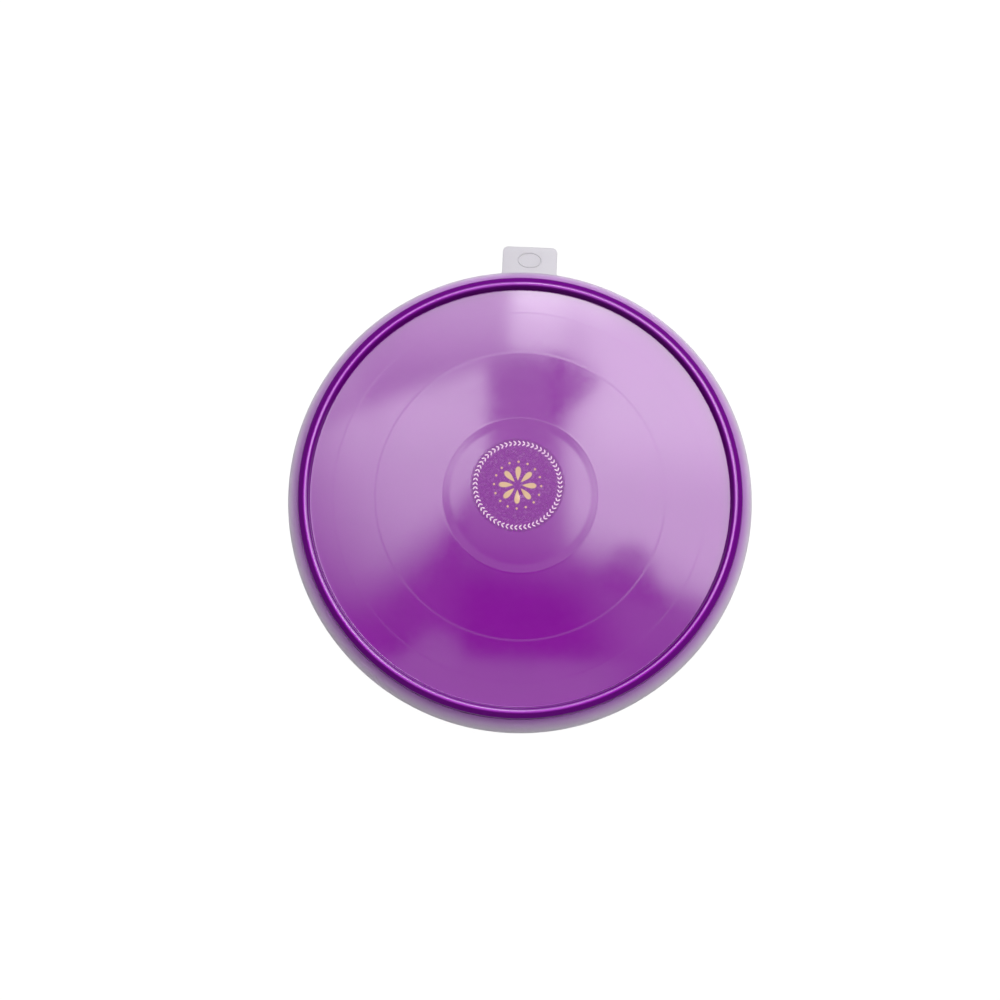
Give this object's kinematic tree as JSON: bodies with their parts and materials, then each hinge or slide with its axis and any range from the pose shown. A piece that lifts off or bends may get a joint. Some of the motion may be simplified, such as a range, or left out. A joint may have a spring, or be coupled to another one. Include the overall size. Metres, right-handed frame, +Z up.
{
  "type": "round cake keeper",
  "caption": "Round food keeper: a translucent tub with a rolled collar and a thumb tab, closed by a crowned gloss lid whose rim bead drops over the tub's rim.",
  "frame": {"origin": "on the tub's axis, in the plane of the foot ring that it stands on", "axes": "+Z up along the axis of both mouldings, +Y towards the thumb tab"},
  "size_m": [0.248, 0.2624, 0.1019],
  "materials": {
    "frosted_pp": "natural polypropylene, frosted and translucent",
    "purple_pp": "gloss moulded polypropylene, opaque purple",
    "label_film": "clear film label with pale gold print"
  },
  "bodies": {
    "tub": {"tub": "frosted_pp"},
    "lid": {"lid": "purple_pp", "label": "label_film"}
  },
  "joints": [
    {"name": "lid_lift", "type": "slide", "parent": "tub", "child": "lid", "axis": [0, 0, 1], "range_m": [0, 0.12]}
  ]
}
